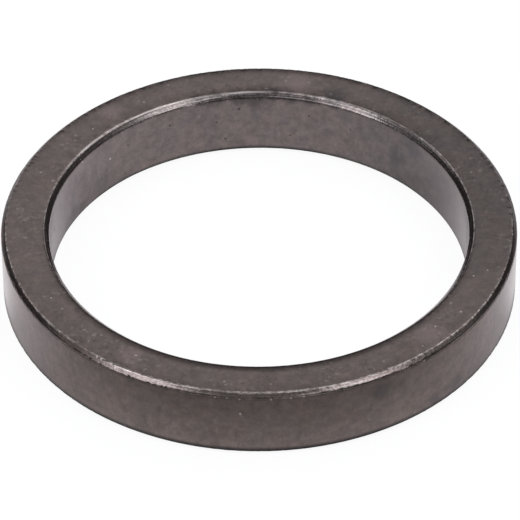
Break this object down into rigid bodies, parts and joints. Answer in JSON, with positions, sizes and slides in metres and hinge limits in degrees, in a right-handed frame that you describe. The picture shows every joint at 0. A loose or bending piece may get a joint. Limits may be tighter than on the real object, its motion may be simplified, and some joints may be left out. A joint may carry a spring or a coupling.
{
  "type": "limiter ring",
  "caption": "Plain turned steel ring of rectangular section, with a wide bore and chamfered rims, used on a shaft or in a housing to limit how far a part slides.",
  "frame": {"origin": "centre of the lower flat face, on the ring's axis", "axes": "+Z along the ring's axis, from the lower face to the upper one; X and Y are any two directions across it"},
  "size_m": [0.04, 0.04, 0.006],
  "materials": {
    "steel": "dark brown-grey heat-treated steel, satin and lightly mottled"
  },
  "bodies": {
    "root": {"limiter_ring": "steel"}
  },
  "joints": []
}
